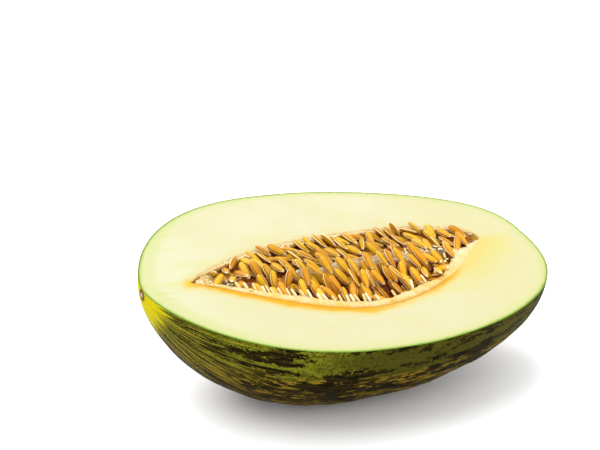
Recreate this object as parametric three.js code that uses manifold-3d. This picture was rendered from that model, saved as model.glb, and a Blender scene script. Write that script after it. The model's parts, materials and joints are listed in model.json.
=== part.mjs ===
// Half of a long, green-skinned melon, cut from stem end to blossom end, with its pulp and seeds.
// Millimetres, +Z up. The half lies on a small flat on its rind, and its cut face looks up and
// tips towards -Y. The stem end is at -X. The origin is the middle of the fruit's footprint box.
import * as THREE from 'three';
import { mergeVertices } from 'three/addons/utils/BufferGeometryUtils.js';
import Module from 'manifold-3d';

const wasm = await Module();
wasm.setup();

// Fruit
const FRUIT_LENGTH = 264;
const FRUIT_WIDTH = 172;
const FRUIT_DEPTH = 79;          // from the fruit's axis down to the rind, before the flat
const LEAN_NEAR = 0.06;          // the -Y side bulges by this share more, the +Y side less
const FACE_ABOVE_AXIS = 4;       // the knife passed this far above the axis
const FACE_RISE = 1;             // and this much higher at the blossom end, lower at the stem end
const AXIS_DRIFT = -0.06;        // sideways drift of the axis along the length
const STEM_END = { fullness: 2.68, bluntness: 1.5 };
const BLOSSOM_END = { fullness: 1.62, bluntness: 2.7 };
const NEAR_TAPER = 0.08;         // girth gained towards the blossom end on the -Y side
const FAR_TAPER = -0.15;
const DEPTH_TAPER = -0.12;
const FACE_TIP = THREE.MathUtils.degToRad(15.6);
const FLAT_DEPTH = 2;            // how far the resting flat is pressed into the rind

// Seed cavity, in the plane of the cut face
const CAVITY_LENGTH = 201;
const CAVITY_NEAR = 50;          // from the line between its tips to its -Y edge
const CAVITY_FAR = 26.5;         // from the same line to its +Y edge
const CAVITY_DEPTH = 36;
const CAVITY_CENTRE = { x: -2.3, y: -1 };
const CAVITY_SKEW = THREE.MathUtils.degToRad(-4);
// How the outline closes towards its tips, and how the hollow does along and across.
const NEAR_TO_STEM = { power: 1.7, fall: 1.25 };
const NEAR_TO_BLOSSOM = { power: 2.1, fall: 1.05 };
const FAR_TO_STEM = { power: 2.2, fall: 0.85 };
const FAR_TO_BLOSSOM = { power: 2.2, fall: 0.45 };
const HOLLOW_ALONG = { power: 2, fall: 0.6 };
const HOLLOW_ACROSS = { power: 2.2, fall: 0.62 };

// Pulp that lines the cavity and carries the seeds
const PULP_GAP = 0.4;            // clearance between the pulp and the flesh
const PULP_BELOW_FACE = 0.7;
const PULP_LINING = 2.4;         // thickness on the -Y wall
const LINING_GROWTH = 4;         // how soon the lining is full, going in from the cavity's edge
const LEDGE_BELOW_FACE = 5.5;    // the broad ledge on the +Y side
const RIDGE_ACROSS = 0;          // where the ledge ends and the slope starts, from the tip line
const SLOPE = Math.tan(THREE.MathUtils.degToRad(38));

// Seeds
const SEED_LENGTH = 13.5;
const SEED_WIDTH = 5.6;
const SEED_THICKNESS = 2.4;
const SEED_GAP = 0.45;           // vertical clearance under each resting seed
const SEED_TIP = 0.3;            // how much the pointed end narrows
const SEED_SWING = 9;            // how far headings stray from their row's, in degrees
const SWING_PACE = 5;            // how fast the strays vary along a row
// Each row: distance from the tip line, share of the cavity length it spans, seeds, heading
// from +X and how far the seeds roll about their own length.
const SEED_ROWS = [
  { across: 15.5, from: -0.42, to: 0.6, seeds: 11, heading: -38, roll: 14 },
  { across: 6, from: -0.72, to: 0.78, seeds: 14, heading: -44, roll: -12 },
  { across: -6.5, from: -0.66, to: 0.68, seeds: 12, heading: -62, roll: 16 },
  { across: -16.5, from: -0.56, to: 0.56, seeds: 10, heading: -66, roll: 12 },
  { across: -26.5, from: -0.44, to: 0.44, seeds: 9, heading: -58, roll: -10 },
];

// Facets around and along the round bodies.
const FRUIT_FACETS = [40, 28];
const SEED_FACETS = [8, 6];
const CAVITY_FACETS = { along: 26, across: 14 };

const FLESH = new THREE.Color(0.93, 0.92, 0.7);
const PULP = new THREE.Color(0.87, 0.62, 0.24);
const SEED = new THREE.Color(0.86, 0.6, 0.22);

const MERGE_WITHIN = 1e-4;

function solid(geometry) {
  const bare = geometry.clone();
  bare.deleteAttribute('normal');
  bare.deleteAttribute('uv');
  const merged = mergeVertices(bare, MERGE_WITHIN);
  const corners = merged.index.array;
  const kept = [];
  for (let i = 0; i < corners.length; i += 3) {
    const [a, b, c] = [corners[i], corners[i + 1], corners[i + 2]];
    if (a !== b && b !== c && c !== a) kept.push(a, b, c);
  }
  return new wasm.Manifold(new wasm.Mesh({
    numProp: 3,
    vertProperties: merged.attributes.position.array,
    triVerts: Uint32Array.from(kept),
  }));
}

function geometryOf(manifold) {
  const mesh = manifold.getMesh();
  const geometry = new THREE.BufferGeometry();
  geometry.setAttribute('position', new THREE.BufferAttribute(mesh.vertProperties, 3));
  geometry.setIndex(new THREE.BufferAttribute(mesh.triVerts, 1));
  geometry.computeVertexNormals();
  return geometry;
}

// ---- The fruit ----

// Girth as a share of its largest, at t from -1 at the stem end to 1 at the blossom end.
function girth(t, taper) {
  const end = t < 0 ? STEM_END : BLOSSOM_END;
  return (1 - Math.abs(t) ** end.fullness) ** (1 / end.bluntness) * (1 + taper * t);
}

function wholeFruit() {
  const geometry = new THREE.SphereGeometry(1, ...FRUIT_FACETS);
  geometry.rotateZ(-Math.PI / 2);
  const position = geometry.attributes.position;
  for (let i = 0; i < position.count; i += 1) {
    const t = THREE.MathUtils.clamp(position.getX(i), -1, 1);
    const angle = Math.atan2(position.getZ(i), position.getY(i));
    const near = Math.cos(angle) < 0;
    const side = near ? 1 + LEAN_NEAR : 1 - LEAN_NEAR;
    const halfWidth = (FRUIT_WIDTH / 2) * side * girth(t, near ? NEAR_TAPER : FAR_TAPER);
    const x = (FRUIT_LENGTH / 2) * t;
    const y = halfWidth * Math.cos(angle) + AXIS_DRIFT * x;
    const z = FRUIT_DEPTH * girth(t, DEPTH_TAPER) * Math.sin(angle) - FACE_ABOVE_AXIS - FACE_RISE * t;
    position.setXYZ(i, x, y, z);
  }
  return solid(geometry);
}

// ---- The cavity ----

// Falls from 1 in the middle to 0 at both ends.
const closing = (share, { power, fall }) => (1 - Math.abs(share) ** power) ** fall;
const edgeNear = (s) => closing(s, s < 0 ? NEAR_TO_STEM : NEAR_TO_BLOSSOM);
const edgeFar = (s) => closing(s, s < 0 ? FAR_TO_STEM : FAR_TO_BLOSSOM);

// A place in the cut face: s runs along the cavity from -1 to 1, v is millimetres across it.
function facePlace(s, v, halfLength = CAVITY_LENGTH / 2) {
  const along = s * halfLength;
  return {
    x: CAVITY_CENTRE.x + along * Math.cos(CAVITY_SKEW) - v * Math.sin(CAVITY_SKEW),
    y: CAVITY_CENTRE.y + along * Math.sin(CAVITY_SKEW) + v * Math.cos(CAVITY_SKEW),
  };
}

// A closed lens over the cavity's outline, drawn in by inset, between two height functions.
function lens(inset, lower, upper) {
  const { along: stations, across: steps } = CAVITY_FACETS;
  const halfLength = CAVITY_LENGTH / 2 - 3 * inset;
  const vertices = [];
  const triangles = [];
  for (const height of [lower, upper]) {
    for (let i = 0; i <= stations; i += 1) {
      const s = Math.sin(Math.PI * (i / stations - 0.5));
      for (let j = 0; j <= steps; j += 1) {
        const w = Math.sin(Math.PI * (j / steps - 0.5));
        const reach = w < 0
          ? Math.max(CAVITY_NEAR * edgeNear(s) - inset, 0)
          : Math.max(CAVITY_FAR * edgeFar(s) - inset, 0);
        const { x, y } = facePlace(s, w * reach, halfLength);
        vertices.push(x, y, height(s, w, w * reach));
      }
    }
  }
  const row = steps + 1;
  const sheet = row * (stations + 1);
  for (let i = 0; i < stations; i += 1) {
    for (let j = 0; j < steps; j += 1) {
      const a = i * row + j;
      triangles.push(a, a + 1, a + row, a + 1, a + row + 1, a + row);
      const b = a + sheet;
      triangles.push(b, b + row, b + 1, b + 1, b + row, b + row + 1);
    }
  }
  const geometry = new THREE.BufferGeometry();
  geometry.setAttribute('position', new THREE.Float32BufferAttribute(vertices, 3));
  geometry.setIndex(triangles);
  return solid(geometry);
}

const bowl = (s, w) => closing(s, HOLLOW_ALONG) * closing(w, HOLLOW_ACROSS);
const CUTTER_RISE = 6;           // the cutter stands this far out of the cut face
const cavityCutter = () => lens(
  0,
  (s, w) => -CAVITY_DEPTH * bowl(s, w),
  (s, w) => CUTTER_RISE * bowl(s, w),
);

// ---- The pulp ----

const pulpFloor = (s, w) => -PULP_BELOW_FACE
  - (CAVITY_DEPTH - PULP_BELOW_FACE - PULP_GAP) * bowl(s, w);

// The ledge is level, and the slope falls from it until it meets the lining of the -Y wall.
function pulpTop(s, w, v) {
  const ledge = -LEDGE_BELOW_FACE - SLOPE * Math.max(0, RIDGE_ACROSS - v);
  const lining = pulpFloor(s, w) + PULP_LINING * Math.min(1, LINING_GROWTH * bowl(s, w));
  return Math.min(-PULP_BELOW_FACE, Math.max(ledge, lining));
}

// ---- The seeds ----

function seedGeometry() {
  const geometry = new THREE.SphereGeometry(1, ...SEED_FACETS);
  geometry.rotateZ(-Math.PI / 2);
  const position = geometry.attributes.position;
  for (let i = 0; i < position.count; i += 1) {
    const along = position.getX(i);
    const narrow = 1 - SEED_TIP * (0.5 + 0.5 * along);
    position.setXYZ(
      i,
      (SEED_LENGTH / 2) * along,
      (SEED_WIDTH / 2) * position.getY(i) * narrow,
      (SEED_THICKNESS / 2) * position.getZ(i) * narrow,
    );
  }
  return geometry;
}

// The lowest and highest points of a turned ellipsoid over (dx, dy) from its centre, or null
// where it isn't over that place. `form` is the ellipsoid's matrix.
function ellipsoidOver(form, dx, dy) {
  const [xx, xy, xz, yy, yz, zz] = form;
  const b = (xz * dx + yz * dy) / zz;
  const c = (xx * dx * dx + 2 * xy * dx * dy + yy * dy * dy - 1) / zz;
  const root = b * b - c;
  if (root <= 0) return null;
  return { low: -b - Math.sqrt(root), high: -b + Math.sqrt(root) };
}

function ellipsoidForm(quaternion) {
  const turn = new THREE.Matrix4().makeRotationFromQuaternion(quaternion).elements;
  const axes = [0, 4, 8].map((k) => [turn[k], turn[k + 1], turn[k + 2]]);
  const sizes = [SEED_LENGTH / 2, SEED_WIDTH / 2, SEED_THICKNESS / 2];
  const entry = (p, q) => axes.reduce((sum, a, k) => sum + (a[p] * a[q]) / sizes[k] ** 2, 0);
  return [entry(0, 0), entry(0, 1), entry(0, 2), entry(1, 1), entry(1, 2), entry(2, 2)];
}

// The pulp's height over a place in the cut face, as designed.
function pulpHeight(x, y) {
  const dx = x - CAVITY_CENTRE.x;
  const dy = y - CAVITY_CENTRE.y;
  const s = (dx * Math.cos(CAVITY_SKEW) + dy * Math.sin(CAVITY_SKEW)) / (CAVITY_LENGTH / 2);
  const v = -dx * Math.sin(CAVITY_SKEW) + dy * Math.cos(CAVITY_SKEW);
  if (Math.abs(s) >= 1) return 0;
  const reach = v < 0 ? CAVITY_NEAR * edgeNear(s) : CAVITY_FAR * edgeFar(s);
  return Math.abs(v) >= reach ? 0 : pulpTop(s, v / reach, v);
}

// The top of what lies under the next seed, kept on a grid of small cells over the cut face.
const CELL = 0.75;
const SIGHT_HEIGHT = 50;
const pile = new Map();
const sight = new THREE.Raycaster();

function pileHeight(i, j, ground) {
  const key = `${i},${j}`;
  if (!pile.has(key)) {
    sight.set(new THREE.Vector3(i * CELL, j * CELL, SIGHT_HEIGHT), new THREE.Vector3(0, 0, -1));
    pile.set(key, sight.intersectObjects(ground)[0].point.z);
  }
  return pile.get(key);
}

// Lowers a turned seed at (x, y) until it rests on the pile, adds it, and returns its height.
function restSeed(x, y, quaternion, ground) {
  const form = ellipsoidForm(quaternion);
  const reach = Math.ceil(SEED_LENGTH / 2 / CELL) + 1;
  const covered = [];
  let height = -Infinity;
  for (let i = Math.round(x / CELL) - reach; i <= Math.round(x / CELL) + reach; i += 1) {
    for (let j = Math.round(y / CELL) - reach; j <= Math.round(y / CELL) + reach; j += 1) {
      const over = ellipsoidOver(form, i * CELL - x, j * CELL - y);
      if (over !== null) {
        covered.push({ i, j, high: over.high });
        height = Math.max(height, pileHeight(i, j, ground) + SEED_GAP - over.low);
      }
    }
  }
  for (const { i, j, high } of covered) pile.set(`${i},${j}`, height + high);
  return height;
}

// The pulp's slope under a seed, so that it lies along the pulp.
function pulpNormal(x, y) {
  const step = SEED_WIDTH / 2;
  const dx = (pulpHeight(x + step, y) - pulpHeight(x - step, y)) / (2 * step);
  const dy = (pulpHeight(x, y + step) - pulpHeight(x, y - step)) / (2 * step);
  return new THREE.Vector3(-dx, -dy, 1).normalize();
}

function seedMeshes(ground) {
  const shape = geometryOf(solid(seedGeometry()));
  const meshes = [];
  for (const row of SEED_ROWS) {
    for (let k = 0; k < row.seeds; k += 1) {
      const s = row.from + ((row.to - row.from) * k) / (row.seeds - 1);
      const { x, y } = facePlace(s, row.across);
      const up = pulpNormal(x, y);
      const swing = SEED_SWING * Math.sin(SWING_PACE * k + row.across);
      const turn = THREE.MathUtils.degToRad(row.heading + swing);
      const along = new THREE.Vector3(Math.cos(turn), Math.sin(turn), 0).projectOnPlane(up).normalize();
      const lie = new THREE.Matrix4().makeBasis(along, up.clone().cross(along), up);
      const roll = new THREE.Quaternion().setFromAxisAngle(
        new THREE.Vector3(1, 0, 0),
        THREE.MathUtils.degToRad(row.roll),
      );
      const quaternion = new THREE.Quaternion().setFromRotationMatrix(lie).multiply(roll);
      const mesh = new THREE.Mesh(
        shape,
        new THREE.MeshStandardMaterial({ color: SEED, roughness: 0.35, metalness: 0 }),
      );
      mesh.name = `seed_${String(meshes.length + 1).padStart(2, '0')}`;
      mesh.quaternion.copy(quaternion);
      mesh.position.set(x, y, restSeed(x, y, quaternion, ground));
      meshes.push(mesh);
    }
  }
  return meshes;
}

// ---- Putting it together ----

const uncut = wholeFruit();
const knife = new THREE.BoxGeometry(2 * FRUIT_LENGTH, 2 * FRUIT_WIDTH, 4 * FRUIT_DEPTH);
knife.translate(0, 0, 2 * FRUIT_DEPTH);
const half = uncut.subtract(solid(knife)).subtract(cavityCutter());

const tipped = geometryOf(half).rotateX(FACE_TIP);
tipped.computeBoundingBox();
const press = new THREE.BoxGeometry(2 * FRUIT_LENGTH, 2 * FRUIT_WIDTH, 2 * FRUIT_DEPTH);
press.translate(0, 0, tipped.boundingBox.min.z + FLAT_DEPTH - FRUIT_DEPTH);
press.rotateX(-FACE_TIP);

const body = new THREE.Mesh(
  geometryOf(half.subtract(solid(press))),
  new THREE.MeshStandardMaterial({ color: FLESH, roughness: 0.45, metalness: 0 }),
);
body.name = 'rind_and_flesh';

const pulp = new THREE.Mesh(
  geometryOf(lens(PULP_GAP, pulpFloor, pulpTop)),
  new THREE.MeshStandardMaterial({ color: PULP, roughness: 0.35, metalness: 0 }),
);
pulp.name = 'pulp_bed';

const fruit = new THREE.Group();
fruit.add(body, pulp, ...seedMeshes([body, pulp]));
fruit.rotation.x = FACE_TIP;
fruit.updateMatrixWorld(true);
const footprint = new THREE.Box3().setFromObject(fruit, true);
const middle = footprint.getCenter(new THREE.Vector3());
fruit.position.set(-middle.x, -middle.y, -footprint.min.z);

const group = new THREE.Group();
group.add(fruit);

export default group;
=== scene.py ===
import json
import math
import random

import bpy
import numpy as np
from mathutils import Matrix, Vector, noise


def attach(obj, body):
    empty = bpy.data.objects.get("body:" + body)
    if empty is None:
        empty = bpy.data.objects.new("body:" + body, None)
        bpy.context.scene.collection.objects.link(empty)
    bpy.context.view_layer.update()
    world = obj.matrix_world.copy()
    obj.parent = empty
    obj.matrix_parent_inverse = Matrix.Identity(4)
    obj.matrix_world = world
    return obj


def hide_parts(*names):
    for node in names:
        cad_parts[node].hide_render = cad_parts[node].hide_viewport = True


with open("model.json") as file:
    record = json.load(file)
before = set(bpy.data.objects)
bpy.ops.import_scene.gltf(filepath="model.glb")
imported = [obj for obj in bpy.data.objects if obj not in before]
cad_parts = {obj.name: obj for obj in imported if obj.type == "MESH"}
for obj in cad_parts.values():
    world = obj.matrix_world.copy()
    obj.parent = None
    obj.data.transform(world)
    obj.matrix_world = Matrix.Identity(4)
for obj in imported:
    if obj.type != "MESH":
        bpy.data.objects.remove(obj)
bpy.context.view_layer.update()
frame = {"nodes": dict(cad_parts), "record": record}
MM = 0.001

# ---- Sizes ----
# In metres, in the fruit's own cut frame: x runs from the stem end to the blossom end, y across
# the cut face to its far side, and z out of it. The fruit's ends round off as
# (1 - t ** a) ** (1 / b), and the cavity's curves as (1 - s ** a) ** b, each by its own (a, b).
HALF_LENGTH = 132 * MM
HALF_WIDTH = 86 * MM
DEPTH = 79 * MM
LEAN_NEAR = 0.06
FACE_ABOVE_AXIS = 4 * MM
FACE_RISE = 1 * MM
AXIS_DRIFT = -0.06
STEM_END = (2.68, 1.5)
BLOSSOM_END = (1.62, 2.7)
NEAR_TAPER, FAR_TAPER, DEPTH_TAPER = 0.08, -0.15, -0.12

CAVITY_HALF = 100.5 * MM
CAVITY_NEAR = 50 * MM
CAVITY_FAR = 26.5 * MM
CAVITY_DEPTH = 36 * MM
CAVITY_X, CAVITY_Y = -2.3 * MM, -1 * MM
CAVITY_SKEW = math.radians(-4)
NEAR_STEM_CURVE, NEAR_BLOSSOM_CURVE = (1.7, 1.25), (2.1, 1.05)
FAR_STEM_CURVE, FAR_BLOSSOM_CURVE = (2.2, 0.85), (2.2, 0.45)
BOWL_ALONG, BOWL_ACROSS = (2, 0.6), (2.2, 0.62)

PULP_GAP = 0.4 * MM
PULP_BELOW_FACE = 0.7 * MM
PULP_LINING = 2.4 * MM
LEDGE_BELOW_FACE = 5.5 * MM
RIDGE_ACROSS = 0.0
SLOPE = math.tan(math.radians(38))

SEED_SIZE = (13.5 * MM, 5.6 * MM, 2.4 * MM)
SEED_TIP = 0.3

# The cut frame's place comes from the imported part: its tip from the cut face, and its centre
# from the point of the stem end.
CUT_AXIS = Vector(next(m for m in frame["record"]["mounts"] if m["name"] == "cut_face")["axis"])
TIP = math.atan2(-CUT_AXIS.y, CUT_AXIS.z)
TURN = Matrix.Rotation(TIP, 3, "X")
STEM_POINT = min((v.co for v in frame["nodes"]["rind_and_flesh"].data.vertices), key=lambda p: p.x)
CENTRE = STEM_POINT - TURN @ Vector(
    (-HALF_LENGTH, -AXIS_DRIFT * HALF_LENGTH, FACE_RISE - FACE_ABOVE_AXIS)
)
TURN_ROWS = np.array(TURN)
CENTRE_ROW = np.array(CENTRE)


def to_part(points):
    """Points of the cut frame, placed in the part's frame."""
    return np.asarray(points, float) @ TURN_ROWS.T + CENTRE_ROW


def to_cut(points):
    """Points of the part's frame, seen in the cut frame."""
    return (np.asarray(points, float) - CENTRE_ROW) @ TURN_ROWS


# ---- Camera ----
VIEW_AZIMUTH = math.radians(-30.6)
VIEW_HEIGHT = math.radians(20.4)
VIEW_DISTANCE = 0.7
SENSOR_WIDTH, FOCAL_LENGTH = 36, 67.1
VIEW_SHIFT = (-0.0768, 0.0545)


def add_camera():
    data = bpy.data.cameras.new("camera")
    camera = bpy.data.objects.new("camera", data)
    bpy.context.scene.collection.objects.link(camera)
    away = Vector((
        math.sin(VIEW_AZIMUTH) * math.cos(VIEW_HEIGHT),
        -math.cos(VIEW_AZIMUTH) * math.cos(VIEW_HEIGHT),
        math.sin(VIEW_HEIGHT),
    ))
    camera.location = CENTRE + away * VIEW_DISTANCE
    camera.rotation_euler = away.to_track_quat("Z", "Y").to_euler()
    data.sensor_width, data.lens = SENSOR_WIDTH, FOCAL_LENGTH
    data.shift_x, data.shift_y = VIEW_SHIFT
    bpy.context.scene.camera = camera


add_camera()


# ---- Shapes of the fruit, the cavity and the pulp ----
def girth(t, taper):
    """The fruit's thickness at t, from -1 at the stem end to 1, as a share of its widest."""
    stem = np.clip(1 - np.abs(t) ** STEM_END[0], 0, 1) ** (1 / STEM_END[1])
    blossom = np.clip(1 - np.abs(t) ** BLOSSOM_END[0], 0, 1) ** (1 / BLOSSOM_END[1])
    return np.where(t < 0, stem, blossom) * (1 + taper * t)


def rind_sizes(t):
    """Half widths on the two sides, depth, and how far the axis lies below the cut, at t."""
    near = HALF_WIDTH * (1 + LEAN_NEAR) * girth(t, NEAR_TAPER)
    far = HALF_WIDTH * (1 - LEAN_NEAR) * girth(t, FAR_TAPER)
    return near, far, DEPTH * girth(t, DEPTH_TAPER), FACE_ABOVE_AXIS + FACE_RISE * t


def rind(t, part, swell=0.0):
    """The rind's surface. part runs from 0 at the near rim, under the fruit, to 1 at the far rim."""
    near, far, depth, below = rind_sizes(t)
    reach = np.clip(below / np.maximum(depth, 1e-9), -1, 1)
    start = np.pi - np.arcsin(reach)
    angle = start + part * (2 * np.pi + np.arcsin(reach) - start)
    width = np.where(np.cos(angle) < 0, near, far)
    x = HALF_LENGTH * t
    y = (width + swell) * np.cos(angle) + AXIS_DRIFT * x
    z = (depth + swell) * np.sin(angle) - below
    return x, y, np.minimum(z, 0.0), angle


def edge(s, stem, blossom):
    """One long edge of the cavity: its distance from the middle at s, as a share of the most."""
    share = np.abs(s) ** np.where(s < 0, stem[0], blossom[0])
    return np.clip(1 - share, 0, 1) ** np.where(s < 0, stem[1], blossom[1])


def bowl(s, w):
    """The cavity's depth as a share, at shares s along and w across that run from -1 to 1."""
    along = np.clip(1 - np.abs(s) ** BOWL_ALONG[0], 0, 1) ** BOWL_ALONG[1]
    return along * np.clip(1 - np.abs(w) ** BOWL_ACROSS[0], 0, 1) ** BOWL_ACROSS[1]


def face_place(s, v, half=CAVITY_HALF):
    """The place in the cut face of a share s along the cavity and a distance v across it."""
    x = CAVITY_X + s * half * math.cos(CAVITY_SKEW) - v * math.sin(CAVITY_SKEW)
    y = CAVITY_Y + s * half * math.sin(CAVITY_SKEW) + v * math.cos(CAVITY_SKEW)
    return x, y


def cavity_place(x, y):
    """The share along the cavity and the distance across it, of a place in the cut face."""
    dx, dy = x - CAVITY_X, y - CAVITY_Y
    s = (dx * math.cos(CAVITY_SKEW) + dy * math.sin(CAVITY_SKEW)) / CAVITY_HALF
    return s, -dx * math.sin(CAVITY_SKEW) + dy * math.cos(CAVITY_SKEW)


def cavity_reach(s, w, inset=0.0):
    """How far the cavity reaches across at s, on the near side where w is below 0."""
    near = np.maximum(CAVITY_NEAR * edge(s, NEAR_STEM_CURVE, NEAR_BLOSSOM_CURVE) - inset, 0)
    far = np.maximum(CAVITY_FAR * edge(s, FAR_STEM_CURVE, FAR_BLOSSOM_CURVE) - inset, 0)
    return np.where(w < 0, near, far)


def pulp_floor(s, w):
    return -PULP_BELOW_FACE - (CAVITY_DEPTH - PULP_BELOW_FACE - PULP_GAP) * bowl(s, w)


def pulp_top(s, w, v):
    """A ledge beyond the ridge, a slope down from it on the near side, and a thin lining."""
    ledge = -LEDGE_BELOW_FACE - SLOPE * np.maximum(0, RIDGE_ACROSS - v)
    lining = pulp_floor(s, w) + PULP_LINING * np.minimum(1, 4 * bowl(s, w))
    return np.minimum(-PULP_BELOW_FACE, np.maximum(ledge, lining))


def pulp_height(x, y):
    """The pulp's height at a place in the cut face: 0 outside the cavity."""
    s, v = cavity_place(x, y)
    reach = cavity_reach(s, v)
    w = np.clip(v / np.maximum(reach, 1e-9), -1, 1)
    inside = (np.abs(s) < 1) & (np.abs(v) < reach)
    return np.where(inside, pulp_top(s, w, v), 0.0)


# ---- Small tools for meshes ----
MERGE_WITHIN = 0.02 * MM
DISTANCE_BLOCK = 2000


def deselect():
    bpy.ops.object.select_all(action="DESELECT")


def activate(obj):
    deselect()
    obj.select_set(True)
    bpy.context.view_layer.objects.active = obj


def named(name):
    """The object just added, under its own name."""
    obj = bpy.context.object
    obj.name = name
    obj.data.name = name
    return obj


def points_of(obj):
    co = np.empty(len(obj.data.vertices) * 3)
    obj.data.vertices.foreach_get("co", co)
    return co.reshape(-1, 3)


def put_points(obj, points):
    obj.data.vertices.foreach_set("co", np.asarray(points, float).ravel())
    obj.data.update()


def put_values(obj, name, values):
    layer = obj.data.attributes.get(name) or obj.data.attributes.new(name, "FLOAT", "POINT")
    layer.data.foreach_set("value", np.asarray(values, np.float32))


def values_of(obj, name):
    values = np.empty(len(obj.data.vertices))
    obj.data.attributes[name].data.foreach_get("value", values)
    return values


def edit(*steps):
    """Runs edit-mode steps on the active object."""
    bpy.ops.object.mode_set(mode="EDIT")
    for step in steps:
        step()
    bpy.ops.object.mode_set(mode="OBJECT")


def edit_all(step):
    """Runs one edit-mode step on the whole of the active object."""
    edit(lambda: bpy.ops.mesh.select_all(action="SELECT"), step)


def outward():
    edit_all(lambda: bpy.ops.mesh.normals_make_consistent(inside=False))


def merge():
    edit_all(lambda: bpy.ops.mesh.remove_doubles(threshold=MERGE_WITHIN))


def chosen(obj):
    """Which vertices of a piece are selected."""
    return np.array([vertex.select for vertex in obj.data.vertices])


def grid(name, columns, rows):
    """A flat grid, and for each point its two shares from -1 to 1."""
    deselect()
    bpy.ops.mesh.primitive_grid_add(x_subdivisions=columns, y_subdivisions=rows, size=2)
    obj = named(name)
    return obj, points_of(obj)[:, 0], points_of(obj)[:, 1]


def bead(name, segments, rings):
    """A sphere of radius 1 with its poles on the x axis: its points still have to be put."""
    deselect()
    bpy.ops.mesh.primitive_uv_sphere_add(segments=segments, ring_count=rings, radius=1)
    obj = named(name)
    return obj, points_of(obj)[:, [2, 0, 1]]


def smoothed(obj):
    """The piece with its faces turned outwards and shaded smooth."""
    activate(obj)
    outward()
    bpy.ops.object.shade_smooth()
    return obj


def ripple(points, scale, seed, octaves=3):
    """Smooth noise from about -1 to 1 at each point."""
    shift = Vector((seed * 17.3, seed * 5.1, seed * 9.7))
    return np.array([
        noise.fractal(Vector(p) * scale + shift, 1.0, 2.0, octaves, noise_basis="PERLIN_ORIGINAL")
        for p in points
    ])


def distance_to(points, outline):
    """Distance from each point to the nearest corner of a dense outline."""
    best = np.full(len(points), np.inf)
    for start in range(0, len(points), DISTANCE_BLOCK):
        block = slice(start, start + DISTANCE_BLOCK)
        apart = points[block, None, :2] - outline[None, :, :2]
        best[block] = np.sqrt((apart ** 2).sum(2)).min(1)
    return best


# ---- The fruit: rind, cut face and cavity in one closed piece ----
STATIONS, ROUNDS = 280, 120
SKIN_RINGS = [0.35, 0.8, 1.4, 2.2, 3.4, 5, 7.5, 11, 15, 20]
FACE_RINGS = [0.12, 0.24, 0.36, 0.48, 0.6, 0.7, 0.79, 0.87, 0.93, 0.97, 1.0]
WALL_RINGS = [0.012, 0.04, 0.09, 0.16, 0.26, 0.38, 0.52, 0.68, 0.84, 1.0]
RIB_HEIGHT, UNEVENNESS = 0.28, 0.9
RIM_FADE = 0.04
FACE_WITHIN = 0.001 * MM
OUTLINE_POINTS = 400
FAR_FROM_RIND = 0.05
WALL_INSIDE_RIND = 12 * MM
WALL_FACES_UP = 0.02
FRUIT_CORNERS = math.radians(50)


def rind_swell(t, part):
    """Growth ribs along the fruit and small unevenness."""
    ribs = np.sin(part * 31 + 1.5 * np.sin(3 * t)) * (1 - t * t)
    points = np.stack([t * 3.2, np.cos(part * 3.1) * 2, np.sin(part * 3.1) * 2], 1)
    return (RIB_HEIGHT * ribs + UNEVENNESS * ripple(points, 1.6, 3)) * MM


def add_rings(fruit, t_stem, t_blossom):
    """Draws the selected rim in, ring by ring, over the cut face and down the cavity's wall."""

    def ring(place):
        edit(lambda: bpy.ops.mesh.extrude_region_move())
        new = chosen(fruit)
        points = points_of(fruit)
        points[new] = place(values_of(fruit, "along")[new], values_of(fruit, "side")[new])
        put_points(fruit, points)

    def share(t):
        return np.clip(t / np.where(t < 0, -t_stem, t_blossom), -1, 1)

    def rim_at(t, side):
        x, y, _, _ = rind(t, np.where(side < 0, 0.0, 1.0))
        return np.stack([x, y, np.zeros_like(x)], 1)

    def cavity_at(t, side, w=1.0, height=0.0):
        x, y = face_place(share(t), side * w * cavity_reach(share(t), side))
        return np.stack([x, y, np.broadcast_to(height, x.shape)], 1)

    def skin_ring(distance):
        def place(t, side):
            start = rim_at(t, side)
            way = cavity_at(t, side) - start
            return start + way * (distance / np.linalg.norm(way, axis=1))[:, None]
        return place

    for distance in SKIN_RINGS:
        ring(skin_ring(distance * MM))
    last = skin_ring(SKIN_RINGS[-1] * MM)
    for f in FACE_RINGS:
        ring(lambda t, side: last(t, side) * (1 - f) + cavity_at(t, side) * f)
    for f in WALL_RINGS:
        ring(lambda t, side: cavity_at(t, side, 1 - f, -CAVITY_DEPTH * bowl(share(t), 1 - f)))


def mark_face(fruit, points, outline):
    """Keeps each point's distances from the rind and from the cavity, for the flesh's colours."""
    on_face = points[:, 2] > -FACE_WITHIN
    s = np.linspace(-1, 1, OUTLINE_POINTS)
    cavity_outline = np.concatenate([
        np.stack(face_place(s, side * cavity_reach(s, side)), 1) for side in (-1.0, 1.0)
    ])
    from_rind = np.full(len(points), FAR_FROM_RIND)
    from_cavity = np.zeros(len(points))
    from_rind[on_face] = distance_to(points[on_face], outline)
    from_cavity[on_face] = distance_to(points[on_face], cavity_outline)
    put_values(fruit, "from_rind", from_rind)
    put_values(fruit, "from_cavity", from_cavity)


def mark_flesh(fruit, outline):
    """Gives the cut face and the cavity's wall the second material, the flesh."""
    centres = np.array([p.center for p in fruit.data.polygons])
    normals = np.array([p.normal for p in fruit.data.polygons])
    heights = centres[:, 2]
    wall = (normals[:, 2] > WALL_FACES_UP) & (distance_to(centres, outline) > WALL_INSIDE_RIND)
    wall &= np.abs(cavity_place(centres[:, 0], centres[:, 1])[0]) < 1
    wall &= heights > -CAVITY_DEPTH
    flesh = (heights > -FACE_WITHIN) | wall
    fruit.data.polygons.foreach_set("material_index", flesh.astype(np.int32))


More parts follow.
